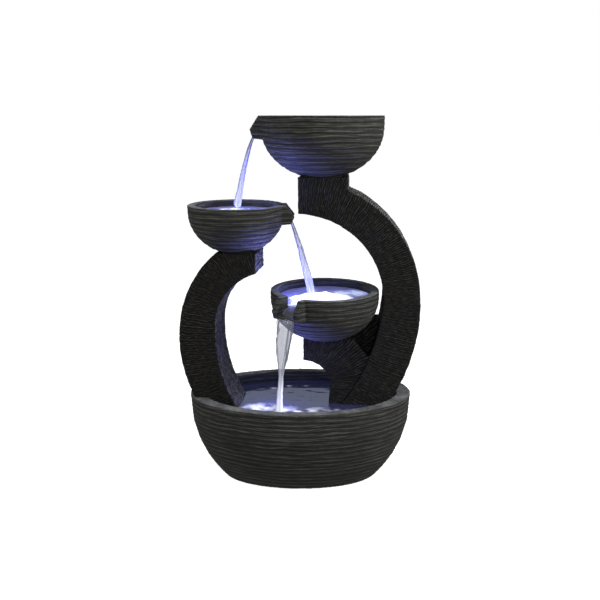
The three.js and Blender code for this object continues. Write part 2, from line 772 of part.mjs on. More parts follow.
function makeSupply() {
  const inlet = toLocal(rightSide, TOP_BOWL.x, TOP_BOWL.y);
  const plate = TOP_BOWL.seat - SEAT_WALL;
  const floor = bowlFootHeight(TOP_BOWL) + BOWL_FLOOR;
  const hoseTop = plate - 12;
  const hoseFoot = PUMP_TOP + GAP;
  // The hose moves evenly from the outlet's depth to the inlet's as it climbs.
  const at = (u, z) => {
    const climbed = (z - hoseFoot) / (hoseTop - hoseFoot);
    return new THREE.Vector3(u, THREE.MathUtils.lerp(OUTLET_DEPTH, inlet.y, climbed), z);
  };
  const route = [
    ...[0, 1, 2].map((i) => new THREE.Vector3(PUMP.u, OUTLET_DEPTH, hoseFoot + i * HOSE.straight)),
    at(-68, 112),
    at(-31, 150),
    at(6, 200),
    at(31, 250),
    at(51, 300),
    at(67, 385),
    at(66, 450),
    at(49, 505),
    at(14, 556),
    at(-28, 590),
    at(-72, 608),
    new THREE.Vector3(inlet.x + 6, inlet.y, 619),
    ...[2, 1, 0].map((i) => new THREE.Vector3(inlet.x, inlet.y, hoseTop - i * HOSE.straight)),
  ];
  const curve = new THREE.CatmullRomCurve3(route, false, "centripetal");
  addNode(rightSide, "supply_hose", tube(curve, HOSE.radius, HOSE.bore, 36, 12), hosePlastic());
  const clampAt = (z) => ring(HOSE.radius + 0.5, HOSE.radius + 2, z, z + HOSE.clamp, 20);
  const lowerClamp = clampAt(hoseFoot + 2).translate(PUMP.u, OUTLET_DEPTH, 0);
  const upperClamp = clampAt(hoseTop - HOSE.clamp - 2).translate(inlet.x, inlet.y, 0);
  addNode(rightSide, "lower_hose_clamp", lowerClamp, steel());
  addNode(rightSide, "upper_hose_clamp", upperClamp, steel());
  makeInlet(hoseTop, floor, plate - GAP);
}

// The flanged inlet that carries the hose through the top bowl's floor, with its seal and nut.
function makeInlet(hoseTop, floor, nutTop) {
  const group = groupAt({ x: TOP_BOWL.x, y: TOP_BOWL.y, turn: 0 });
  const { bore, flangeRadius, flangeHeight, sealHeight } = INLET;
  const barbLow = hoseTop - 10;
  const shoulder = hoseTop + 1;
  const sealLow = floor + GAP;
  const flange = sealLow + sealHeight + GAP;
  const inletBody = turned(
    [
      [bore, barbLow],
      [BARB_RADIUS, barbLow],
      [BARB_RADIUS, shoulder],
      [INLET_RADIUS, shoulder],
      [INLET_RADIUS, flange],
      [flangeRadius, flange],
      [flangeRadius, flange + flangeHeight],
      [bore, flange + flangeHeight],
      [bore, barbLow],
    ],
    20,
  );
  const seal = ring(INLET_RADIUS + GAP, flangeRadius - 1, sealLow, sealLow + sealHeight, 20);
  addNode(group, "top_bowl_inlet", inletBody, blackPlastic());
  addNode(group, "inlet_seal", seal, blackRubber());
  addNode(group, "inlet_nut", nut(INLET_RADIUS, flangeRadius, nutTop - 7, nutTop), blackPlastic());
}

// ---------- wiring ----------

const END_GAP = 1; // between a lead's end and the piece it enters
const SPLITTER = { low: [-98, 82, 78], high: [-64, 97, 94] };

function addLead(name, points, steps) {
  const curve = new THREE.CatmullRomCurve3(points, false, "centripetal");
  addNode(fountain, name, tube(curve, LEAD_RADIUS, 0, steps, 8), blackRubber());
}

function makeWiring(leftStemEnd, middleStemEnd) {
  addNode(rightSide, "lead_splitter", box(SPLITTER.low, SPLITTER.high), blackPlastic());
  const right = (u, v, z) => toWorld(rightSide, u, v, z);
  const left = (u, v, z) => toWorld(leftSide, u, v, z);
  const leftStem = toLocal(leftSide, LEFT_BOWL.x, LEFT_BOWL.y);
  const middleStem = toLocal(rightSide, MIDDLE_BOWL.x, MIDDLE_BOWL.y);
  const floor = BASIN.floor + LEAD_RADIUS + END_GAP;
  const under = SPLITTER.low[2] - END_GAP;
  const over = SPLITTER.high[2] + END_GAP;
  addLead(
    "left_lamp_lead",
    [
      left(leftStem.x, leftStem.y, leftStemEnd - END_GAP),
      left(leftStem.x, leftStem.y, leftStemEnd - 14),
      left(-43, 45, 450),
      left(-69, 45, 400),
      left(-77, 45, 350),
      left(-76, 45, 300),
      left(-66, 45, 250),
      left(-46, 45, 200),
      left(-15, 45, 150),
      left(32, 45, 100),
      left(50, 45, 60),
      left(62, 45, 30),
      left(82, 45, floor + 1),
      new THREE.Vector3(-40, 2, floor),
      new THREE.Vector3(-15, 30, floor),
      right(-138, 74, floor),
      right(-112, 76, floor + 3),
      right(-110, 89, 36),
      right(-96, 93, 54),
      right(-88, 90, under - 8),
      right(-88, 90, under),
    ],
    56,
  );
  addLead(
    "middle_lamp_lead",
    [
      right(middleStem.x, middleStem.y, middleStemEnd - END_GAP),
      right(middleStem.x, middleStem.y, middleStemEnd - 8),
      right(-80, 34, 280),
      right(-50, 45, 256),
      right(-20, 50, 240),
      right(2, 56, 222),
      right(-5, 64, 190),
      right(-34, 74, 150),
      right(-66, 86, 118),
      right(-76, 90, over + 9),
      right(-76, 90, over),
    ],
    26,
  );
  addLead(
    "basin_lamp_lead",
    [
      new THREE.Vector3(BASIN_LAMP.x, BASIN_LAMP.y + LAMP_RADIUS + END_GAP, BASIN.floor + 6),
      new THREE.Vector3(BASIN_LAMP.x, BASIN_LAMP.y + LAMP_RADIUS + 10, BASIN.floor + 6),
      new THREE.Vector3(BASIN_LAMP.x + 12, 2, floor),
      right(-140, 54, floor),
      right(-112, 58, floor + 4),
      right(-113, 66, 45),
      right(-112, 80, 70),
      right(SPLITTER.low[0] - 9, 89, 86),
      right(SPLITTER.low[0] - END_GAP, 90, 86),
    ],
    20,
  );
  addLead(
    "pump_lead",
    [
      right(PUMP.u + 14, 54, PUMP_TOP + END_GAP),
      right(PUMP.u + 14, 55, PUMP_TOP + 8),
      right(PUMP.u + 10, 62, 82),
      right(PUMP.u + 4, SPLITTER.low[1] - 9, 87),
      right(PUMP.u + 4, SPLITTER.low[1] - END_GAP, 87),
    ],
    8,
  );
  addLead(
    "trunk_lead",
    [
      right(SPLITTER.high[0] + END_GAP, 90, 86),
      right(SPLITTER.high[0] + 9, 90, 87),
      right(TRUNK_HOLE.u + 3, 90, 104),
      right(TRUNK_HOLE.u, 98, TRUNK_HOLE.z - 1),
      right(TRUNK_HOLE.u, 112, TRUNK_HOLE.z + 1),
      right(TRUNK_HOLE.u, 121, 126),
      new THREE.Vector3(101, 104, 150),
      new THREE.Vector3(CABLE_HOLE.x, 100, 175),
      new THREE.Vector3(CABLE_HOLE.x, 108, CABLE_HOLE.z),
      new THREE.Vector3(CABLE_HOLE.x, 120, CABLE_HOLE.z),
      new THREE.Vector3(CABLE_HOLE.x, 135, CABLE_HOLE.z),
    ],
    20,
  );
}

// ---------- assembly ----------

makeBasin();
makeRightColumn();
makeAccessDoor();
makeLeftColumn();
makeBracket();
makeBowl("top_bowl", TOP_BOWL, INLET_RADIUS + GAP);
makeBowl("left_bowl", LEFT_BOWL, STEM_RADIUS + GAP);
makeBowl("middle_bowl", MIDDLE_BOWL, STEM_RADIUS + GAP);
makePump();
makeRotor();
makeIntakeCover();
makeRegulator();
makeSuctionCups();
makeSupply();
makeBasinLamp();
makeWiring(makeBowlLamp("left", LEFT_BOWL), makeBowlLamp("middle", MIDDLE_BOWL));

export default fountain;
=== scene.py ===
import json
import math
from itertools import product

import bpy
import numpy as np
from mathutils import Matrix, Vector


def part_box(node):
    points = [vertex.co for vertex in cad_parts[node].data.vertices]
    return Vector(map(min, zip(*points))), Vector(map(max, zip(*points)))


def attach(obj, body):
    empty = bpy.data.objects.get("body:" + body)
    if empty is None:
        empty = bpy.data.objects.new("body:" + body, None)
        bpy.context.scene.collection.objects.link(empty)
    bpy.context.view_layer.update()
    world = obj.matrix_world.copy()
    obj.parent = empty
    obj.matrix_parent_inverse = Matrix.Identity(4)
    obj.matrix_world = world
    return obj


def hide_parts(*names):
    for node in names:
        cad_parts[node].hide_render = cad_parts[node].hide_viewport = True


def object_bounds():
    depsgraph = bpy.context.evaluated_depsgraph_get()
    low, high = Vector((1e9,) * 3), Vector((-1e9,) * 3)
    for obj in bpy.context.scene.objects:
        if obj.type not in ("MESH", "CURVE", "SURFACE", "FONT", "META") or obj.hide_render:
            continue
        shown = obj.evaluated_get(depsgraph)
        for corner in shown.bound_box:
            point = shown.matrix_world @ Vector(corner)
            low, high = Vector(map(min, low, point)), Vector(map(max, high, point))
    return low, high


# Tiered garden fountain: textured cast resin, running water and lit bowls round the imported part.
# Metres throughout, in the part's own frame: +Z up, -Y towards the front.

# ---------- camera ----------

CAMERA_PLACE = (-0.001, -1.573, 0.800)
CAMERA_TILT = 14  # degrees below level
CAMERA_LENS = 44.4  # millimetres, as is the sensor's width
CAMERA_SENSOR = 36


def add_camera():
    data = bpy.data.cameras.new("camera")
    data.lens = CAMERA_LENS
    data.sensor_width = CAMERA_SENSOR
    camera = bpy.data.objects.new("camera", data)
    camera.location = CAMERA_PLACE
    camera.rotation_euler = (math.radians(90 - CAMERA_TILT), 0, 0)
    bpy.context.scene.collection.objects.link(camera)
    bpy.context.scene.camera = camera


add_camera()
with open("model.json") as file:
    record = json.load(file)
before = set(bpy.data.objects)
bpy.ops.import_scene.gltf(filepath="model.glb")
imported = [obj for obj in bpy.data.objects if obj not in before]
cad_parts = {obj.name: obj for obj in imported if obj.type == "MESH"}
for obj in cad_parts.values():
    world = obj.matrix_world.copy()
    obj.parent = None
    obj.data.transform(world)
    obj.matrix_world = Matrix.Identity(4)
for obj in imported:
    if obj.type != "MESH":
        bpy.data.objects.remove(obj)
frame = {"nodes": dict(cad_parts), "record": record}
cad_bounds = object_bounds()

# ---------- sizes ----------

BOWL_WALL = 0.016
BOWL_POURS = {"top": 180, "left": 0, "middle": -128.5}  # degrees from +X
BOWL_BAND = {"top": 0.025, "left": 0.014, "middle": 0.018}  # upright part below the rim
FOOT_ROUNDING = 0.004  # how far below its foot a bowl's curve would close
SPOUT_SCALE = {"top": 1.0, "left": 0.83, "middle": 0.95}
CHANNEL_WIDTH = 0.044
CHANNEL_DEPTH = 0.026  # below the rim, at the channel's inner end
CHANNEL_FALL = 0.019  # how much lower the channel may lie at its lip
WATER_DEPTH = {"top": 0.019, "left": 0.0145, "middle": 0.017}  # of the surface below the rim
BASIN_RIM_END = 0.031  # width of the rim's top at the basin's ends
BASIN_RIM_SIDE = 0.020
BASIN_WATER = 0.176

# Each band's corner in plan, its turn about +Z in degrees, and the centres (along, up) and radii
# of the arcs that its cuts are square to.
COLUMNS = {
    "right_column": {"corner": (0.149, -0.035), "turn": 4.5, "mirror": 1,
                     "arcs": [((-0.1584, 0.4117), 0.2267), ((-0.4118, 0.4392), 0.4804)]},
    "left_column": {"corner": (-0.146, -0.055), "turn": 8, "mirror": -1,
                    "arcs": [((-0.0905, 0.3573), 0.1679), ((-0.2877, 0.3432), 0.3650)]},
    "middle_bracket": {"corner": (0.149, -0.035), "turn": 4.5, "mirror": 1,
                       "arcs": [((-0.143, 0.2125), 0.095)]},
}
ARC_BLEND = 0.04  # height over which one arc's cuts turn into the other's

# ---------- numbers ----------

HASH_PRIMES = np.array([73856093, 19349663, 83492791])
HASH_SEED_PRIME = 7919
HASH_FACTOR = 1274126177
LOW_32_BITS = 0xFFFFFFFF
LOW_31_BITS = 0x7FFFFFFF


def lattice_value(cells, seed):
    """A repeatable random number from -1 to 1 for each lattice cell."""
    mixed = (cells @ HASH_PRIMES + seed * HASH_SEED_PRIME) & LOW_32_BITS
    mixed = ((mixed ^ (mixed >> 13)) * HASH_FACTOR) & LOW_32_BITS
    mixed ^= mixed >> 16
    return mixed / LOW_31_BITS - 1


def ease(share):
    """Turns an even rise from 0 to 1 into one that starts and ends level."""
    return share * share * (3 - 2 * share)


def noise(points, cell, seed):
    """Smooth noise from -1 to 1; cell is its grain along each axis."""
    scaled = points / np.asarray(cell)
    corner = np.floor(scaled).astype(np.int64)
    part = ease(scaled - corner)
    total = np.zeros(len(points))
    for step in product((0, 1), repeat=3):
        weight = np.prod(np.where(step, part, 1 - part), axis=1)
        total += weight * lattice_value(corner + np.array(step), seed)
    return total


def smooth_step(value, low, high):
    """0 up to low, 1 from high, and an eased rise between them."""
    return ease(np.clip((value - low) / (high - low), 0, 1))


def round_angles(count):
    """Evenly spaced angles once round a circle."""
    return np.linspace(0, 2 * np.pi, count, endpoint=False)


# ---------- meshes ----------

VOXEL = {"bowl": 0.0016, "basin": 0.0022, "column": 0.0014, "door": 0.0011}


def link(piece):
    bpy.context.scene.collection.objects.link(piece)
    return piece


def set_attribute(mesh, name, values):
    """Gives each vertex of a mesh a number or a vector that its material can read."""
    kind = "FLOAT_VECTOR" if values.ndim == 2 else "FLOAT"
    attribute = mesh.attributes.new(name, kind, "POINT")
    key = "vector" if values.ndim == 2 else "value"
    attribute.data.foreach_set(key, values.astype(np.float32).ravel())


def vertex_vectors(mesh, key):
    """The place or the normal of each vertex of a mesh, a row each."""
    values = np.zeros(len(mesh.vertices) * 3)
    mesh.vertices.foreach_get(key, values)
    return values.reshape(-1, 3)


def wrapped_mesh(name, grid):
    """A mesh through a grid of points, rows by columns, whose last column joins its first."""
    rows, columns = grid.shape[:2]
    index = np.arange(rows * columns).reshape(rows, columns)
    index = np.hstack([index, index[:, :1]])
    corners = (index[:-1, :-1], index[:-1, 1:], index[1:, 1:], index[1:, :-1])
    faces = np.stack(corners, axis=-1).reshape(-1, 4)
    mesh = bpy.data.meshes.new(name)
    mesh.from_pydata(grid.reshape(-1, 3).tolist(), [], faces.tolist())
    return mesh


def water_piece(name, grid, material, **attributes):
    """A smooth piece through a grid of points, with each attribute's value at each point."""
    mesh = wrapped_mesh(name, grid)
    mesh.shade_smooth()
    for key, values in attributes.items():
        set_attribute(mesh, key, values.ravel())
    mesh.materials.append(material)
    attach(link(bpy.data.objects.new(name, mesh)), "fountain")


def remeshed(name, source, voxel):
    """A copy of a CAD node's mesh, made again from even voxels."""
    piece = link(bpy.data.objects.new(name, source.data.copy()))
    modifier = piece.modifiers.new("voxels", "REMESH")
    modifier.mode = "VOXEL"
    modifier.voxel_size = voxel * 1
    depsgraph = bpy.context.evaluated_depsgraph_get()
    mesh = bpy.data.meshes.new_from_object(piece.evaluated_get(depsgraph))
    piece.modifiers.clear()
    piece.data = mesh
    return piece


def cast(node, voxel, relief, material, body="fountain"):
    """Stands for a CAD node with a voxel copy whose surface is moved along its normals.

    relief(points, normals) gives the move in metres and the material's attributes: the grain's
    coordinates, the phases of the cuts (and 1 where they show), and 1 where the painted highlight
    of the light lies.
    """
    piece = remeshed(f"{node}_cast", frame["nodes"][node], voxel)
    mesh = piece.data
    points = vertex_vectors(mesh, "co")
    normals = vertex_vectors(mesh, "normal")
    height, grain, phase, top = relief(points, normals)
    moved = points + normals * height[:, None]
    moved[:, 2] = np.maximum(moved[:, 2], cad_bounds[0].z)
    mesh.vertices.foreach_set("co", moved.ravel())
    mesh.update()
    mesh.shade_smooth()
    set_attribute(mesh, "grain", grain)
    set_attribute(mesh, "phase", phase)
    set_attribute(mesh, "top", top)
    mesh.materials.clear()
    mesh.materials.append(material)
    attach(piece, body)
    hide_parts(node)


# ---------- relief ----------

COARSE_LAYER = 0.0105  # pitch of the bowls' level layers
FINE_LAYER = 0.0047
CUT_PITCH = 0.0043  # pitch of the cuts across the columns
FINE_CUT = 0.0027
LAYER_HEIGHT = 0.0022
CUT_HEIGHT = 0.0019
CHISEL_HEIGHT = 0.0008
SKIN_HEIGHT = 0.0004
RIDGE_LEVEL = 0.72  # the part of a ridge's height that stays at the CAD's surface
# The mean depth of the layers and of the cuts, and how much a noise changes it.
LAYER_PRESENCE = (0.65, 0.45)
CUT_PRESENCE = (0.8, 0.4)
COARSE_SHARE = 0.7  # of the layers' height
FINE_SHARE = 0.3
LEVEL_GRAIN = (25.0, 25.0, 260.0)  # repeats per metre along x, y and z
CUT_GRAIN = (210.0, 85.0, 85.0)  # the same along, across and into a column
# Grain of each noise: along x, y and z on the bowls; along, across and into a column.
LEVEL_NOISE = {
    "sway": (0.13, 0.13, 0.03),
    "ripple": (0.035, 0.035, 0.011),
    "drift": (0.07, 0.07, 0.02),
    "presence": (0.06, 0.06, 0.012),
}
CUT_NOISE = {
    "sway": (0.05, 0.02, 0.02),
    "break_up": (0.008, 0.006, 0.006),
    "chisel": (0.012, 0.009, 0.009),
}
SKIN_LUMP = (0.008, 0.008, 0.008)
SKIN_GRIT = (0.0032, 0.0032, 0.0032)
# How many pitches a noise moves the layers or the cuts by.
LAYER_SWAY = 0.36
LAYER_RIPPLE = 0.19
FINE_LAYER_DRIFT = 0.9
FINE_LAYER_RIPPLE = 0.2
CUT_SWAY = 0.45
CUT_BREAK_UP = 0.22
FINE_CUT_SWAY = 0.8
FINE_CUT_BREAK_UP = 0.4
WALL_FADE = 0.001  # half the depth over which layers end at the middle of a bowl's wall
CHANNEL_MARGIN = 0.002  # beside a spout's channel, also without layers
SPOUT_LOSS = 0.5  # share of the layers' height that is lost on a spout
SPOUT_FADE = 0.012  # length over which it is lost, up to the bowl's outer radius
TOP_FACING = (0.55, 0.9)  # upward part of the normals over which a face becomes a rim's top
TOP_DEPTH = (0.004, 0.002)  # and depths below the rim over which it does
OUTER_FACING = (0.05, 0.3)  # outward part of the normals over which the basin's layers start
PAINTED_HIGHLIGHT_FACING = (0.1, 0.45)  # part of the normals towards +X over which a column gets the painted highlight of the light from the right
# How strong the painted highlight of the light from the right is on the faces that look towards +X.
PAINTED_HIGHLIGHT_STRENGTH = {"right_column": 1.0, "left_column": 0.45, "middle_bracket": 0.0}
LEAST_RADIUS = 1e-6
BASIN_SEED = 50
COLUMN_SEED = 80
STREAM_SEED = 200
SEED_STEP = 10  # from one bowl, column or fall to the next


def ridge(phase):
    """From 0 in narrow cuts, one at each whole number, to 1 on the broad ridges between."""
    return np.abs(np.sin(np.pi * phase)) ** 0.5


def level_phases(points, seed):
    """How many coarse and fine level layers lie below each point, drifting along the wall."""
    sway = noise(points, LEVEL_NOISE["sway"], seed)
    ripple = noise(points, LEVEL_NOISE["ripple"], seed + 1)
    drift = noise(points, LEVEL_NOISE["drift"], seed + 2)
    coarse = points[:, 2] / COARSE_LAYER + LAYER_SWAY * sway + LAYER_RIPPLE * ripple
    fine = points[:, 2] / FINE_LAYER + FINE_LAYER_DRIFT * drift + FINE_LAYER_RIPPLE * ripple
    return coarse, fine


def skin(points, seed):
    """The lumps and grit of a rough casting, from -1 to 1."""
    lumps = noise(points, SKIN_LUMP, seed)
    grit = noise(points, SKIN_GRIT, seed + 1)
    return 0.5 * lumps + 0.5 * grit


def level_relief(points, outside, top, seed):
    """Layers where outside is 1, and a rough cast skin elsewhere."""
    coarse, fine = level_phases(points, seed)
    patches = noise(points, LEVEL_NOISE["presence"], seed + 4)
    presence = LAYER_PRESENCE[0] + LAYER_PRESENCE[1] * patches
    mixed = COARSE_SHARE * ridge(coarse) + FINE_SHARE * ridge(fine)
    layers = (mixed - RIDGE_LEVEL) * presence
    height = outside * LAYER_HEIGHT * layers + SKIN_HEIGHT * skin(points, seed + 9)
    phase = np.stack([coarse, fine, outside], axis=1)
    return height, points * LEVEL_GRAIN, phase, top


class Bowl:
    """Where a bowl and its spout are, from the bowl's CAD nodes."""

    def __init__(self, which):
        low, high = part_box(f"{which}_bowl")
        gasket_low, gasket_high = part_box(f"{which}_bowl_gasket")
        self.which = which
        self.centre = np.array((gasket_low + gasket_high) / 2)[:2]
        self.rim = high.z
        self.foot = low.z
        # Measured on the side that the spout doesn't lengthen.
        self.radius = self.centre[0] - low.x if which == "left" else high.x - self.centre[0]
        self.inner = self.radius - BOWL_WALL
        self.scale = SPOUT_SCALE[which]
        self.water = self.rim - WATER_DEPTH[which]
        angle = math.radians(BOWL_POURS[which])
        self.out = np.array([math.cos(angle), math.sin(angle)])
        self.side = np.array([-self.out[1], self.out[0]])

    def spout_frame(self, points):
        """How far points lie out along the spout and to its side."""
        flat = points[:, :2] - self.centre
        return flat @ self.out, flat @ self.side

    def middle_of_wall(self, z):
        """The radius of the middle of the wall at each height."""
        band = self.rim - BOWL_BAND[self.which]
        fall = np.clip((band - z) / (band - self.foot + FOOT_ROUNDING), 0, 1)
        return (self.radius - BOWL_WALL / 2) * np.sqrt(1 - fall**2)

    def place(self, out, side, z):
        """The point at a distance out along the spout, to its side, at a height."""
        flat = self.centre + out * self.out + side * self.side
        return np.array([flat[0], flat[1], z])


def rim_top(points, normals, rim):
    """1 on the flat top of a rim."""
    facing = smooth_step(normals[:, 2], *TOP_FACING)
    return facing * smooth_step(points[:, 2], rim - TOP_DEPTH[0], rim - TOP_DEPTH[1])


def bowl_relief(bowl, seed):
    """Level layers outside a bowl, weaker on its spout and left out of the spout's channel."""

    def relief(points, normals):
        out, side = bowl.spout_frame(points)
        radius = np.hypot(out, side)
        past_wall = radius - bowl.middle_of_wall(points[:, 2])
        outside = smooth_step(past_wall, -WALL_FADE, WALL_FADE)
        half = CHANNEL_WIDTH / 2 * bowl.scale + CHANNEL_MARGIN
        floor = bowl.rim - (CHANNEL_DEPTH + CHANNEL_FALL) * bowl.scale
        in_channel = (np.abs(side) < half) & (out > 0) & (points[:, 2] > floor)
        on_spout = smooth_step(out, bowl.radius - SPOUT_FADE, bowl.radius)
        outside = outside * (1 - SPOUT_LOSS * on_spout)
        # The rim's top also takes the painted highlight of the overhead light.
        top = rim_top(points, normals, bowl.rim)
        return level_relief(points, outside * ~in_channel * (1 - top), top, seed)

    return relief


def basin_relief(points, normals):
    """Level layers on the faces of the basin that look outwards."""
    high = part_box("basin")[1]
    radius = np.maximum(np.hypot(points[:, 0], points[:, 1]), LEAST_RADIUS)
    outward = np.einsum("ij,ij->i", normals[:, :2], points[:, :2]) / radius
    # The rim's top also takes the painted highlight of the overhead light.
    top = rim_top(points, normals, high.z)
    outside = smooth_step(outward, *OUTER_FACING) * (1 - top)
    return level_relief(points, outside, top, BASIN_SEED)


def band_coordinates(points, column):
    """How far along a column's band, across it and into its depth each point lies."""
    turn = math.radians(column["turn"])
    flat = points[:, :2] - np.array(column["corner"])
    u = (flat[:, 0] * math.cos(turn) - flat[:, 1] * math.sin(turn)) * column["mirror"]
    depth = flat[:, 0] * math.sin(turn) + flat[:, 1] * math.cos(turn)
    along = []
    across = []
    for (centre_u, centre_z), radius in column["arcs"]:
        away_u = u - centre_u
        away_z = points[:, 2] - centre_z
        along.append(np.arctan2(away_z, away_u) * radius)
        across.append(np.hypot(away_u, away_z) - radius)
    if len(along) == 1:
        return along[0], across[0], depth
    meeting = (column["arcs"][0][0][1] + column["arcs"][1][0][1]) / 2
    upper = smooth_step(points[:, 2], meeting - ARC_BLEND, meeting + ARC_BLEND)
    return (
        along[0] * upper + along[1] * (1 - upper),
        across[0] * upper + across[1] * (1 - upper),
        depth,
    )


def grooved_relief(column, painted_highlight_strength, seed):
    """Close, slightly broken cuts across a column's band."""

    def relief(points, normals):
        along, across, depth = band_coordinates(points, column)
        place = np.stack([along, across, depth], axis=1)
        sway = noise(place, CUT_NOISE["sway"], seed)
        break_up = noise(place, CUT_NOISE["break_up"], seed + 1)
        coarse = along / CUT_PITCH + CUT_SWAY * sway + CUT_BREAK_UP * break_up
        fine = along / FINE_CUT + FINE_CUT_SWAY * sway + FINE_CUT_BREAK_UP * break_up
        chisel = noise(place, CUT_NOISE["chisel"], seed + 5)
        presence = CUT_PRESENCE[0] + CUT_PRESENCE[1] * break_up
        height = CUT_HEIGHT * (ridge(coarse) - RIDGE_LEVEL) * presence + CHISEL_HEIGHT * chisel
        height += SKIN_HEIGHT * skin(points, seed + 2)
        # Painted highlight where the light from the right falls on faces towards +X.
        painted_highlight = painted_highlight_strength * smooth_step(normals[:, 0], *PAINTED_HIGHLIGHT_FACING)
        phase = np.stack([coarse, fine, np.ones(len(points))], axis=1)
        return height, place * CUT_GRAIN, phase, painted_highlight

    return relief


# ---------- materials ----------

CLEAR = (0.94, 0.95, 0.98, 1)  # what clear water lets through
WET_GLOSS = (0.40, 0.45, 0.62, 1)
DARK_LINE = (0.05, 0.05, 0.09, 1)
WHITE_WATER = (0.86, 0.88, 1, 1)
BLUE_WATER = (0.58, 0.66, 1, 1)
FOAM_WHITE = (0.95, 0.96, 1, 1)
WATER_IOR = 1.33
# Repeats per metre of the materials' own noises.
SPECKLE = 520.0
MOTTLE = 14.0
BLOTCHES = 130.0
HANDLING_MARKS = 45.0
RIPPLES = 150.0
# How high a point stands, from its layers and its streaks, and the ranges over which it turns from
# painted shade in the cuts to the face colour and then to a painted highlight on the ridges, and
# over which the painted highlight of lit faces shows.
LAYER_LIGHT_SHARE = 0.72
STREAK_LIGHT_SHARE = 0.7
SHADE_TO_FACE = (0.55, 0.98)
FACE_TO_HIGHLIGHT = (0.95, 1.22)
HIGHLIGHT_ON_RIDGES = (0.72, 1.08)


def new_material(name):
    material = bpy.data.materials.new(name)
    material.use_nodes = True
    material.node_tree.nodes.clear()
    return material, material.node_tree


def add(tree, kind, settings=None, inputs=None):
    """A shader node with its settings, and its inputs linked or set."""
    node = tree.nodes.new(f"ShaderNode{kind}")
    for key, value in (settings or {}).items():
        setattr(node, key, value)
    for key, value in (inputs or {}).items():
        if isinstance(value, bpy.types.NodeSocket):
            tree.links.new(value, node.inputs[key])
        else:
            node.inputs[key].default_value = value
    return node


def calculate(tree, operation, *values):
    return add(tree, "Math", {"operation": operation}, dict(enumerate(values))).outputs[0]


def weighted(tree, first, weight, second):
    """first times weight, plus second."""
    return calculate(tree, "MULTIPLY_ADD", first, weight, second)


def attribute(tree, name, output="Fac"):
    return add(tree, "Attribute", {"attribute_name": name}).outputs[output]


def noise_value(tree, vector, scale, detail=4.0, roughness=0.6):
    inputs = {"Vector": vector, "Scale": scale, "Detail": detail, "Roughness": roughness}
    return add(tree, "TexNoise", None, inputs).outputs["Fac"]


def mix_colour(tree, factor, first, second):
    inputs = {0: factor, 6: first, 7: second}
    return add(tree, "Mix", {"data_type": "RGBA"}, inputs).outputs[2]


def mix_shader(tree, factor, first, second):
    return add(tree, "MixShader", None, {0: factor, 1: first, 2: second}).outputs[0]


def ranged(tree, value, low, high, to_low=0.0, to_high=1.0):
    """Maps a value from one range to another, held at its ends."""
    inputs = {"Value": value, 1: low, 2: high, 3: to_low, 4: to_high}
    return add(tree, "MapRange", None, inputs).outputs["Result"]


def bumped(tree, height, distance, strength, normal=None):
    """A normal tilted by a height of 0 to 1 times distance, on top of an earlier one."""
    inputs = {"Height": height, "Distance": distance, "Strength": strength}
    if normal is not None:
        inputs["Normal"] = normal
    return add(tree, "Bump", None, inputs).outputs["Normal"]


def finish_material(tree, shader):
    output = add(tree, "OutputMaterial")
    tree.links.new(shader, output.inputs["Surface"])


def object_coordinates(tree):
    return add(tree, "TexCoord").outputs["Object"]


def grey(value, tint=(1, 1, 1)):
    return (value * tint[0], value * tint[1], value * tint[2], 1)


def ridge_value(tree, phase):
    """The shader's own copy of ridge()."""
    wave = calculate(tree, "SINE", calculate(tree, "MULTIPLY", phase, math.pi))
    return calculate(tree, "POWER", calculate(tree, "ABSOLUTE", wave), 0.5)


def resin_layers(tree):
    """From 0 in the cuts to 1 on the ridges, and even where the surface has no cuts."""
    phase = add(tree, "SeparateXYZ", None, {0: attribute(tree, "phase", "Vector")})
    coarse = ridge_value(tree, phase.outputs[0])
    fine = ridge_value(tree, phase.outputs[1])
    ridges = weighted(tree, coarse, 0.6, calculate(tree, "MULTIPLY", fine, 0.4))
    uncut = ranged(tree, phase.outputs[2], 0.0, 1.0, 0.8, 0.0)
    return calculate(tree, "MAXIMUM", ridges, uncut)


def painted_highlight_amount(tree, place, shade_to_highlight, least_painted_highlight):
    """How strong the painted highlight is: only where the attribute top marks lit faces, least in
    the cuts and between blotches.
    """
    patches = noise_value(tree, place, BLOTCHES, detail=2.0)
    blotches = ranged(tree, patches, 0.42, 0.6, least_painted_highlight, 1.0)
    highlight_on_ridges = calculate(tree, "MULTIPLY", ranged(tree, shade_to_highlight, *HIGHLIGHT_ON_RIDGES), blotches)
    return calculate(tree, "MULTIPLY", attribute(tree, "top"), highlight_on_ridges)


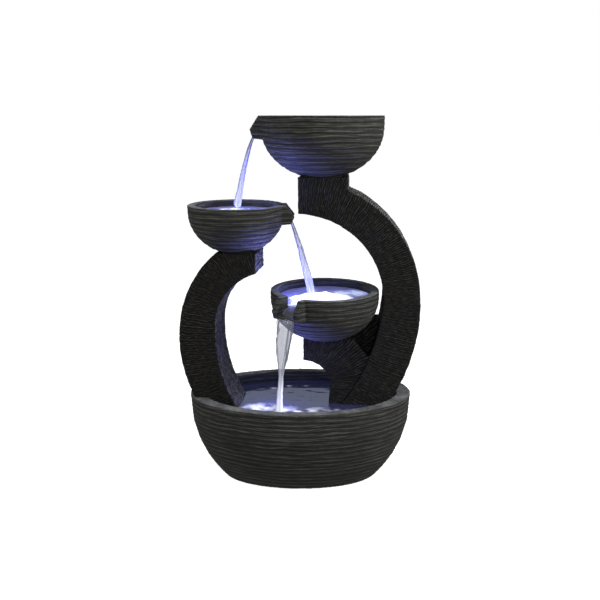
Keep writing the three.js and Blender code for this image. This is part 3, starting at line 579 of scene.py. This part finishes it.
def resin(name, painted_cut_shade, face, painted_ridge_highlight, painted_highlight, least_painted_highlight, specular):
    """Cast resin: painted shade in the cuts, mottled ridges with a painted highlight and painted
    glint specks on their edges, and painted highlights on lit tops and sides.
    """
    material, tree = new_material(name)
    place = object_coordinates(tree)
    layers = resin_layers(tree)
    grain = attribute(tree, "grain", "Vector")
    streaks = noise_value(tree, grain, 1.0, detail=5.0, roughness=0.7)
    speckle = noise_value(tree, place, SPECKLE, detail=3.0)
    mottle = noise_value(tree, place, MOTTLE)
    streak_share = calculate(tree, "MULTIPLY", streaks, STREAK_LIGHT_SHARE)
    shade_to_highlight = weighted(tree, layers, LAYER_LIGHT_SHARE, streak_share)
    # Painted shade in the cuts, and a painted highlight on the ridges' edges.
    body = mix_colour(tree, ranged(tree, shade_to_highlight, *SHADE_TO_FACE), painted_cut_shade, face)
    highlighted = mix_colour(tree, ranged(tree, shade_to_highlight, *FACE_TO_HIGHLIGHT), body, painted_ridge_highlight)
    dark = add(tree, "HueSaturation", None, {"Value": 0.66, "Color": highlighted}).outputs["Color"]
    varied = mix_colour(tree, ranged(tree, mottle, 0.35, 0.68, 0.0, 0.8), highlighted, dark)
    # Painted glints: light specks in the highlight colour.
    glint_specked = mix_colour(tree, ranged(tree, speckle, 0.60, 0.72, 0.0, 0.45), varied, painted_ridge_highlight)
    # Painted highlight of the light on rim tops and on faces towards +X.
    colour = mix_colour(tree, painted_highlight_amount(tree, place, shade_to_highlight, least_painted_highlight), glint_specked, painted_highlight)
    normal = bumped(tree, layers, 0.0016, 0.8)
    normal = bumped(tree, streaks, 0.0008, 0.5, normal)
    normal = bumped(tree, speckle, 0.0003, 0.5, normal)
    shader = add(tree, "BsdfPrincipled", None, {
        "Base Color": colour,
        "Roughness": ranged(tree, speckle, 0.3, 0.7, 0.6, 0.86),
        "Specular IOR Level": specular,
        "Normal": normal,
    })
    finish_material(tree, shader.outputs[0])
    return material


def moulded(name, colour, roughness, grain_scale, metallic=0.0):
    """Moulded plastic, rubber or metal with a fine grain and handling marks."""
    material, tree = new_material(name)
    place = object_coordinates(tree)
    grain = noise_value(tree, place, grain_scale, detail=3.0)
    marks = noise_value(tree, place, HANDLING_MARKS, detail=5.0)
    lighter = tuple(min(1, channel * 1.5 + 0.01) for channel in colour[:3]) + (1,)
    shader = add(tree, "BsdfPrincipled", None, {
        "Base Color": mix_colour(tree, ranged(tree, marks, 0.4, 0.75, 0.0, 0.8), colour, lighter),
        "Roughness": ranged(tree, marks, 0.3, 0.7, roughness - 0.08, roughness + 0.12),
        "Metallic": metallic,
        "Normal": bumped(tree, grain, 0.0002, 0.35),
    })
    finish_material(tree, shader.outputs[0])
    return material


def wet_shader(tree, normal):
    """Clear water: what is behind it, with a reflection that grows towards its edges."""
    through = add(tree, "BsdfTransparent", None, {"Color": CLEAR}).outputs[0]
    gloss_inputs = {"Color": WET_GLOSS, "Roughness": 0.06, "Normal": normal}
    gloss = add(tree, "BsdfGlossy", None, gloss_inputs).outputs[0]
    edge = add(tree, "Fresnel", None, {"IOR": WATER_IOR, "Normal": normal}).outputs[0]
    return mix_shader(tree, edge, through, gloss)


def clear_material(name, deep, bright, cover, glow, outline=0.0):
    """Water or clear plastic, cloudier and brighter where the attribute white is high, and glowing
    in its tone.

    cover is its least and greatest cloudiness; outline paints dark edges where surfaces are seen
    edge on, and the attribute fold paints dark lines on them, painted darkening in place of
    refraction.
    """
    material, tree = new_material(name)
    ripple = noise_value(tree, object_coordinates(tree), RIPPLES, detail=3.0)
    normal = bumped(tree, ripple, 0.001, 0.2)
    white = attribute(tree, "white")
    wet = wet_shader(tree, normal)
    tone = mix_colour(tree, ranged(tree, white, 0.4, 1.0), deep, bright)
    grazing = add(tree, "LayerWeight", None, {"Blend": 0.5, "Normal": normal}).outputs["Facing"]
    line = ranged(tree, grazing, 0.55, 0.95, 0.0, outline)
    line = calculate(tree, "MAXIMUM", line, attribute(tree, "fold"))
    tone = mix_colour(tree, line, tone, DARK_LINE)
    # On water and foam this emission is a painted glow of the lamps' light in the water; on a
    # lamp's lens it is the lamp's own light.
    cloud = add(tree, "BsdfPrincipled", None, {
        "Base Color": tone,
        "Roughness": 0.3,
        "Emission Color": tone,
        "Emission Strength": glow,
        "Normal": normal,
    }).outputs[0]
    cloudiness = calculate(tree, "MAXIMUM", ranged(tree, white, 0.0, 1.0, *cover), line)
    finish_material(tree, mix_shader(tree, cloudiness, wet, cloud))
    return material


bowl_resin = resin(
    "bowl_resin",
    painted_cut_shade=grey(0.005, (1, 1, 0.92)),
    face=grey(0.023, (1, 1, 0.86)),
    painted_ridge_highlight=grey(0.105, (1, 1, 0.88)),
    painted_highlight=grey(0.16, (0.96, 1, 1.06)),
    least_painted_highlight=0.6,
    specular=0.25,
)
column_resin = resin(
    "column_resin",
    painted_cut_shade=grey(0.0015),
    face=grey(0.004, (1.05, 1, 0.9)),
    painted_ridge_highlight=grey(0.06, (1.05, 1, 0.9)),
    painted_highlight=grey(0.21),
    least_painted_highlight=0.1,
    specular=0.14,
)
# The record's material slots, and what each one's pieces are made of here.
SLOT_MATERIALS = {
    "bowl_resin": bowl_resin,
    "column_resin": column_resin,
    "black_plastic": moulded("black_plastic", (0.018, 0.018, 0.02, 1), 0.42, 900.0),
    "black_rubber": moulded("black_rubber", (0.012, 0.012, 0.012, 1), 0.7, 600.0),
    "steel": moulded("steel", (0.55, 0.56, 0.58, 1), 0.3, 1500.0, metallic=1.0),
    "magnet": moulded("magnet", (0.1, 0.1, 0.11, 1), 0.45, 800.0, metallic=0.4),
    "hose_plastic": moulded("hose_plastic", (0.6, 0.64, 0.66, 1), 0.3, 500.0),
    "clear_plastic": clear_material("lens", (0.5, 0.52, 1, 1), WHITE_WATER, (0.5, 0.7), 2.0),
}
# The blue tones and glow of the pools, streams and foam are painted glow of the lamps' light in the
# water.
pool_water = clear_material("pool_water", (0.06, 0.065, 0.17, 1), WHITE_WATER, (0.25, 1.0), 0.3)
lit_water = clear_material("lit_water", (0.18, 0.19, 0.48, 1), BLUE_WATER, (0.5, 1.0), 0.7)
stream_water = clear_material(
    "stream_water", (0.30, 0.32, 0.62, 1), WHITE_WATER, (0.06, 0.9), 0.15, outline=0.5
)
sheet_water = clear_material(
    "sheet_water", (0.22, 0.22, 0.27, 1), WHITE_WATER, (0.06, 0.95), 0.35, outline=0.9
)
foam_water = clear_material("foam", (0.5, 0.53, 0.95, 1), FOAM_WHITE, (0.35, 1.0), 0.8)


# ---------- water ----------

CHURN_TURN = (0.83, 0.56)  # turns the patches so that they don't follow +X and +Y
CHURN_OCTAVES = (1, 0.5, 0.25, 0.12)
POLE = 0.004  # innermost ring of a round surface, as a share of its radius
POOL_RINGS = 70
POOL_SPOKES = 160
RING_HEIGHT = 0.0014
RING_LENGTH = 0.0021  # from one ring to the next is 2 pi times this
CHOP_HEIGHT = 0.0009
CHOP = (0.022, 0.012, 1)
FINE_CHOP = (0.008, 0.005, 1)
CALM = 0.25  # share of the chop that reaches the pool's edges
SPOT_SQUASH = 1.5  # how much narrower a bright patch is from front to back
PATCH_SIZE = 0.016
PATCH_LIGHT = (0.35, 1.1)  # how white a bright patch stays in its gaps, and what churn adds
STREAM_ROWS = 170
STREAM_COLUMNS = 64
LIP_OVERHANG = 0.013  # how far a spout's lip is past its bowl's radius
LIP_DEPTH = 0.040  # below the rim, for a spout of scale 1, as are the depths that follow
# Where water runs in a spout before its lip: past the bowl's radius, and below the rim.
CHANNEL_FLOW = ((-0.034, 0.024), (-0.008, 0.026))
LIP_POINT = len(CHANNEL_FLOW)  # the place of the lip in a fall's line
FALL_STEPS = 14
END_STEEPNESS = 40  # how fast a fall's tube opens from its ends
END_WIDTH = 0.02  # of the full width, at its ends
FALL_LENGTH = 4  # length of a fall in its noises' coordinates, where its section has radius 1
SWELL = (0.5, 0.6, 0.6)  # grain of the fall's noises in those coordinates
BULGE = (0.12, 0.35, 0.35)
STREAK = (2.0, 0.18, 0.18)
SWELL_SIZE = 0.16  # how much the noises change the fall's radius
BULGE_SIZE = 0.09
STREAK_STRENGTH = 0.6
FOLD_WIDTH = 0.09  # of half the fall's width
FOLD_SWAY = 0.4  # how far folds follow the changes of the fall's radius
FOLD_ENDS = (0.75, 0.45)  # share of the drop from which folds are gone, and up to which they last
FOAM_RINGS = 44
FOAM_SPOKES = 110
FOAM_LOBES = ((0.08, 3, 1), (0.05, 7, 2))  # depth, number round the edge and turn of each wave
FOAM_LUMP = (0.014, 0.014, 1)
FOAM_BUBBLE = (0.005, 0.005, 1)
FOAM_BUBBLE_HEIGHT = 0.0008
FOAM_SINK = 0.002  # how far a mound's edge lies under the water
SPOUT_FOAM_OUT = 0.078  # from the middle bowl's centre along its spout
BOWL_OVERLAP = 0.0008  # how far water reaches into the wall round it
BASIN_OVERLAP = 0.001


def churn(points, size, seed):
    """Broken patches about size across, from 0 to 1."""
    turned = np.stack([
        points[:, 0] * CHURN_TURN[0] + points[:, 1] * CHURN_TURN[1],
        points[:, 1] * CHURN_TURN[0] - points[:, 0] * CHURN_TURN[1],
        np.zeros(len(points)),
    ], axis=1)
    total = sum(noise(turned, (size * share, size * share, 1), seed + octave) * share
                for octave, share in enumerate(CHURN_OCTAVES))
    return np.clip(0.5 + 0.45 * total, 0, 1)


def oval(centre, half_length, half_width, share, angle, outline=1):
    """Points at height 0 at shares of an oval's radius; outline stretches its radius."""
    x = centre[0] + share * half_length * outline * np.cos(angle)
    y = centre[1] + share * half_width * outline * np.sin(angle)
    return np.stack([x, y, np.zeros_like(x)], axis=-1).reshape(-1, 3)


def pool_height(flat, level, landing):
    """A pool's height: rings round where water lands in it, and chop that dies away from there."""
    landing_x, landing_y, reach, strength = landing
    away = np.hypot(flat[:, 0] - landing_x, flat[:, 1] - landing_y)
    rings = RING_HEIGHT * strength * np.cos(away / RING_LENGTH) * np.exp(-away / reach)
    chop = noise(flat, CHOP, 71) + 0.5 * noise(flat, FINE_CHOP, 72)
    return level + rings + CHOP_HEIGHT * chop * (CALM + np.exp(-away / (3 * reach)))


def pool_white(flat, foam_and_glint_spots):
    """How white the water is: broken patches of foam and of painted highlights round each spot."""
    white = np.zeros(len(flat))
    for spot_x, spot_y, size, brightness in foam_and_glint_spots:
        away = np.hypot(flat[:, 0] - spot_x, (flat[:, 1] - spot_y) * SPOT_SQUASH)
        white += brightness * np.exp(-((away / size) ** 2))
    broken = PATCH_LIGHT[0] + PATCH_LIGHT[1] * churn(flat, PATCH_SIZE, 73)
    return np.clip(white * broken, 0, 1)


def water_surface(name, centre, half_length, half_width, level, foam_and_glint_spots, material):
    """A level pool with rings round the first of its bright spots.

    Each spot is its x, y, reach and brightness: foam, or a painted highlight on the water.
    """
    share = np.linspace(POLE, 1, POOL_RINGS)[:, None]
    angle = round_angles(POOL_SPOKES)[None, :]
    flat = oval(centre, half_length, half_width, share, angle)
    grid = flat.copy()
    grid[:, 2] = pool_height(flat, level, foam_and_glint_spots[0])
    shape = (POOL_RINGS, POOL_SPOKES)
    white = pool_white(flat, foam_and_glint_spots)
    water_piece(name, grid.reshape(*shape, 3), material, white=white.reshape(shape))


def along_keys(share, values):
    """Values at evenly spaced keys, read at shares from 0 to 1."""
    return np.interp(share, np.linspace(0, 1, len(values)), values)


def stream_frame(line):
    """A fall's path at even shares of its line, with the share of its drop and width at each."""
    keys = np.linspace(0, 1, len(line))
    share = np.linspace(0, 1, STREAM_ROWS)
    path = np.stack([np.interp(share, keys, line[:, axis]) for axis in range(3)], axis=1)
    lip_z = line[LIP_POINT, 2]
    fallen = np.clip((lip_z - path[:, 2]) / (lip_z - line[-1, 2]), 0, 1)
    closing = np.minimum(1, np.minimum(share, 1 - share) * END_STEEPNESS + END_WIDTH)
    return path, fallen, closing


def front_of(path, across):
    """Unit vectors square to a path and to the direction across it."""
    along = np.gradient(path, axis=0)
    along /= np.linalg.norm(along, axis=1)[:, None]
    front = np.cross(along, across)
    front /= np.linalg.norm(front, axis=1)[:, None]
    return front


def stream(name, line, side, shape, material, seed):
    """Falling water: a flattened tube along a line.

    shape's widths (to the side), depths and whites have keys spaced evenly down the fall; its
    folds are dark lines at shares of the fall's half width.
    """
    path, fallen, closing = stream_frame(line)
    across = np.array([side[0], side[1], 0.0])
    front = front_of(path, across)
    angle = round_angles(STREAM_COLUMNS)
    row_share, row_angle = np.meshgrid(fallen, angle, indexing="ij")
    place = [row_share * FALL_LENGTH, np.cos(row_angle), np.sin(row_angle)]
    place = np.stack(place, axis=-1).reshape(-1, 3)
    swell = noise(place, SWELL, seed) * SWELL_SIZE
    swell = swell + noise(place, BULGE, seed + 1) * BULGE_SIZE
    swell = 1 + swell.reshape(STREAM_ROWS, STREAM_COLUMNS)
    wide = (along_keys(fallen, shape["widths"]) / 2 * closing)[:, None] * np.cos(angle) * swell
    deep = (along_keys(fallen, shape["depths"]) / 2 * closing)[:, None] * np.sin(angle) * swell
    grid = path[:, None, :] + wide[..., None] * across + deep[..., None] * front[:, None, :]
    streaks = noise(place, STREAK, seed + 2).reshape(STREAM_ROWS, STREAM_COLUMNS)
    white = along_keys(fallen, shape["whites"])[:, None]
    white = np.clip(white + STREAK_STRENGTH * streaks * white**2, 0, 1)
    spread = np.cos(angle)[None, :] + FOLD_SWAY * (swell - 1)
    fold = np.zeros_like(spread)
    for share in shape["folds"]:
        fold = fold + np.exp(-(((spread - share) / FOLD_WIDTH) ** 2))
    fading = smooth_step(fallen, *FOLD_ENDS)[:, None]
    water_piece(name, grid, material, white=white, fold=fold * fading)


def fall(bowl, reach, drop, steepness):
    """Points down a fall from a spout's lip; steepness is the straight share of its drop."""
    lip_out = bowl.radius + LIP_OVERHANG
    lip_z = bowl.rim - LIP_DEPTH * bowl.scale
    points = [
        bowl.place(bowl.radius + out, 0, bowl.rim - depth * bowl.scale)
        for out, depth in CHANNEL_FLOW
    ]
    for share in np.linspace(0, 1, FALL_STEPS):
        down = drop * (steepness * share + (1 - steepness) * share**2)
        points.append(bowl.place(lip_out + reach * share, 0, lip_z - down))
    return np.array(points)


def foam_mound(name, centre, half_length, half_width, level, height, seed):
    """A rounded heap of churned water."""
    share = np.linspace(POLE, 1, FOAM_RINGS)[:, None]
    angle = round_angles(FOAM_SPOKES)[None, :]
    outline = 1
    for depth, lobes, turn in FOAM_LOBES:
        outline = outline + depth * np.sin(lobes * angle + turn * seed)
    grid = oval(centre, half_length, half_width, share, angle, outline)
    lumps = 0.5 * noise(grid, FOAM_LUMP, seed) + 0.25 * noise(grid, FOAM_BUBBLE, seed + 1)
    crown = (np.cos(share * np.pi / 2) ** 0.9 * np.ones_like(angle)).ravel()
    heaped = height * crown * (1 + 0.35 * lumps)
    grid[:, 2] = level - FOAM_SINK + heaped + FOAM_BUBBLE_HEIGHT * lumps
    white = np.clip(crown * 1.9 + 0.05 + 0.35 * lumps, 0, 1)
    shape = (FOAM_RINGS, FOAM_SPOKES)
    water_piece(name, grid.reshape(*shape, 3), foam_water, white=white.reshape(shape))


# ---------- lights and stage ----------

LED_COLOUR = (0.22, 0.24, 1.0)
LAMP_BEAM = 150  # degrees
LAMP_RADIUS = 0.012
FLOOR_SPOKES = 96
FLOOR_RINGS = (0.002, 0.2, 0.3, 0.45, 0.8, 2.0, 8.0, 30.0)  # their radii
FLOOR_LEVEL = -0.0005
FLOOR_GLOW = 0.86
# Where each studio light is, what it looks at, its side in metres and its watts.
STUDIO_LIGHTS = {
    "overhead": ((0.1, -0.2, 2.2), (0, 0, 0.5), 1.2, 26),
    "right_side": ((1.65, -0.75, 1.15), (0.0, 0, 0.45), 0.8, 33),
    "left_side": ((-1.7, -0.7, 1.1), (-0.05, 0, 0.4), 0.9, 12),
    "front": ((0.2, -2.2, 1.3), (0, 0, 0.4), 1.4, 10),
}


def aimed(light, place, target):
    """Points a light from its place at a target."""
    aim = np.array(target) - np.array(place)
    tilt = math.acos(-aim[2] / np.linalg.norm(aim))
    light.location = place
    light.rotation_euler = (tilt, 0, math.atan2(aim[1], aim[0]) - math.pi / 2)


def studio_light(name, place, target, size, energy):
    data = bpy.data.lights.new(name, "AREA")
    data.shape = "SQUARE"
    data.size = size
    data.energy = energy
    aimed(link(bpy.data.objects.new(name, data)), place, target)


def lamp(name, place, target, beam_power, scattered_power):
    """A lit lamp: a soft beam towards its target, and light that the water scatters round it."""
    for kind, power in (("SPOT", beam_power), ("POINT", scattered_power)):
        data = bpy.data.lights.new(f"{name}_{kind.lower()}", kind)
        data.shadow_soft_size = LAMP_RADIUS
        data.energy = power
        data.color = LED_COLOUR
        if kind == "SPOT":
            data.spot_size = math.radians(LAMP_BEAM)
            data.spot_blend = 1
        aimed(link(bpy.data.objects.new(data.name, data)), place, target)


def add_world(seen, lit):
    """A white surround for the camera that lights the object more softly."""
    world = bpy.data.worlds.new("surround")
    bpy.context.scene.world = world
    world.use_nodes = True
    tree = world.node_tree
    tree.nodes.clear()
    direct = add(tree, "LightPath").outputs["Is Camera Ray"]
    strength = ranged(tree, direct, 0.0, 1.0, lit, seen)
    background = add(tree, "Background", None, {"Color": (1, 1, 1, 1), "Strength": strength})
    output = add(tree, "OutputWorld")
    tree.links.new(background.outputs[0], output.inputs["Surface"])


def floor_material():
    """A matte white that glows a little, so that only a faint contact shadow shows."""
    material, tree = new_material("floor")
    glow = add(tree, "Emission", None, {"Color": (1, 1, 1, 1), "Strength": FLOOR_GLOW}).outputs[0]
    matte = add(tree, "BsdfDiffuse", None, {"Color": (0.6, 0.6, 0.6, 1)}).outputs[0]
    finish_material(tree, add(tree, "AddShader", None, {0: glow, 1: matte}).outputs[0])
    return material


def add_floor():
    radii = np.array(FLOOR_RINGS)[:, None]
    angle = round_angles(FLOOR_SPOKES)
    grid = np.stack([radii * np.cos(angle), radii * np.sin(angle), 0 * radii * angle], axis=-1)
    mesh = wrapped_mesh("floor", grid)
    mesh.materials.append(floor_material())
    floor = link(bpy.data.objects.new("floor", mesh))
    floor.location.z = FLOOR_LEVEL
    floor.visible_diffuse = False
    floor.visible_glossy = False


# ---------- castings and fittings ----------

bowls = {which: Bowl(which) for which in ("top", "left", "middle")}
for number, (which, bowl) in enumerate(bowls.items()):
    relief = bowl_relief(bowl, SEED_STEP * number)
    cast(f"{which}_bowl", VOXEL["bowl"], relief, bowl_resin)
cast("basin", VOXEL["basin"], basin_relief, bowl_resin)
for number, (node, column) in enumerate(COLUMNS.items()):
    relief = grooved_relief(column, PAINTED_HIGHLIGHT_STRENGTH[node], COLUMN_SEED + SEED_STEP * number)
    cast(node, VOXEL["column"], relief, column_resin)
# The door's cuts run on from the right column's, so its relief has the same column and seed.
relief = grooved_relief(COLUMNS["right_column"], 0.0, COLUMN_SEED)
cast("pump_access_door", VOXEL["door"], relief, column_resin, "access_door")

for subpart in frame["record"]["subparts"]:
    node = frame["nodes"][subpart["node"]]
    for slot in node.material_slots:
        slot.material = SLOT_MATERIALS[subpart["material_slot"]]

# ---------- falls, pools and foam ----------

falls = {
    "top": fall(bowls["top"], reach=0.040, drop=0.154, steepness=0.47),
    "left": fall(bowls["left"], reach=0.047, drop=0.168, steepness=0.75),
    "middle": fall(bowls["middle"], reach=0.026, drop=0.218, steepness=0.15),
}
STREAM_SHAPES = {
    "top": {
        "widths": [0.030, 0.022, 0.018, 0.016, 0.017, 0.019],
        "depths": [0.005, 0.008, 0.010, 0.012, 0.014, 0.016],
        "whites": [0.2, 0.52, 0.54, 0.56, 0.6, 0.68],
        "folds": [-0.9],
    },
    "left": {
        "widths": [0.026, 0.020, 0.018, 0.018, 0.020, 0.022],
        "depths": [0.005, 0.009, 0.012, 0.015, 0.017, 0.019],
        "whites": [0.2, 0.5, 0.5, 0.52, 0.56, 0.62],
        "folds": [0.9],
    },
    "middle": {
        "widths": [0.048, 0.045, 0.041, 0.031, 0.020, 0.010, 0.011, 0.013, 0.016, 0.018],
        "depths": [0.004, 0.003, 0.004, 0.005, 0.006, 0.007, 0.009, 0.010, 0.011, 0.012],
        "whites": [0.1, 0.42, 0.42, 0.45, 0.55, 0.72, 0.8, 0.85, 0.95, 1.0],
        "folds": [-0.85, 0.5, 0.88],
    },
}
for number, (which, line) in enumerate(falls.items()):
    water = sheet_water if which == "middle" else stream_water
    seed = STREAM_SEED + SEED_STEP * number
    stream(f"{which}_stream", line, bowls[which].side, STREAM_SHAPES[which], water, seed)

top_landing = falls["top"][-1][:2]
left_landing = falls["left"][-1][:2]
middle_landing = falls["middle"][-1][:2]
# The bright patches of each pool: their x, y, reach and brightness. The first of them is where
# water comes in: up through the top bowl's floor, or down from the fall above.
FOAM_AND_GLINT_SPOTS = {
    "top": [(*bowls["top"].centre, 0.020, 0.5)],
    "left": [(*top_landing, 0.035, 1.2)],
    "middle": [
        (*left_landing, 0.040, 1.2),
        # Painted highlight on the water at the bowl's back right.
        (0.112, 0.030, 0.050, 1.2),
        (0.02, 0.07, 0.03, 0.5),
    ],
    "basin": [
        (*middle_landing, 0.045, 1.2),
        (-0.085, -0.045, 0.040, 0.7),
        # Painted highlight along the front of the water, these three.
        (-0.020, -0.085, 0.070, 0.8),
        (0.060, -0.095, 0.060, 0.8),
        (-0.110, -0.075, 0.050, 0.45),
        # Painted glints on the water at the back, these three.
        (-0.025, 0.085, 0.010, 0.9),
        (-0.060, 0.070, 0.012, 0.8),
        (0.015, 0.086, 0.009, 0.8),
    ],
}
for which, bowl in bowls.items():
    radius = bowl.inner + BOWL_OVERLAP
    water = pool_water if which == "top" else lit_water
    name = f"{which}_bowl_water"
    water_surface(name, bowl.centre, radius, radius, bowl.water, FOAM_AND_GLINT_SPOTS[which], water)
basin_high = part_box("basin")[1]
half_length = basin_high.x - BASIN_RIM_END + BASIN_OVERLAP
half_width = basin_high.y - BASIN_RIM_SIDE + BASIN_OVERLAP
water_surface(
    "basin_water", (0, 0), half_length, half_width, BASIN_WATER, FOAM_AND_GLINT_SPOTS["basin"], pool_water
)

left_level = bowls["left"].water
middle_level = bowls["middle"].water
spout_end = bowls["middle"].place(SPOUT_FOAM_OUT, 0, middle_level)[:2]
# Each mound's middle, half its length and width, the water's level there, its height and seed.
FOAM = {
    "middle_bowl_foam": (
        bowls["middle"].centre + (-0.008, -0.018), 0.078, 0.050, middle_level, 0.013, 3
    ),
    "spout_foam": (spout_end, 0.030, 0.026, middle_level, 0.007, 4),
    "left_bowl_foam": (top_landing + (-0.008, -0.020), 0.055, 0.036, left_level, 0.004, 5),
    "basin_foam": (middle_landing + (0.002, 0.004), 0.045, 0.016, BASIN_WATER, 0.005, 7),
}
for name, mound in FOAM.items():
    foam_mound(name, *mound)

# ---------- light ----------

bpy.context.scene.view_settings.view_transform = "Standard"
add_world(seen=1.0, lit=0.30)
add_floor()
for name, values in STUDIO_LIGHTS.items():
    studio_light(name, *values)
# Each lamp shines up out of the water: where from, what at, and the watts in its beam and round it.
LAMPS = {
    "left": ((-0.085, -0.034, left_level + 0.016), (-0.06, -0.01, 0.72), 1.05, 0.5),
    "middle": ((-0.025, -0.032, middle_level + 0.018), (-0.09, -0.03, 0.56), 1.8, 1.0),
    "basin": ((-0.060, -0.050, BASIN_WATER + 0.016), (-0.03, -0.06, 0.40), 2.9, 0.4),
}
for which, values in LAMPS.items():
    lamp(f"{which}_light", *values)
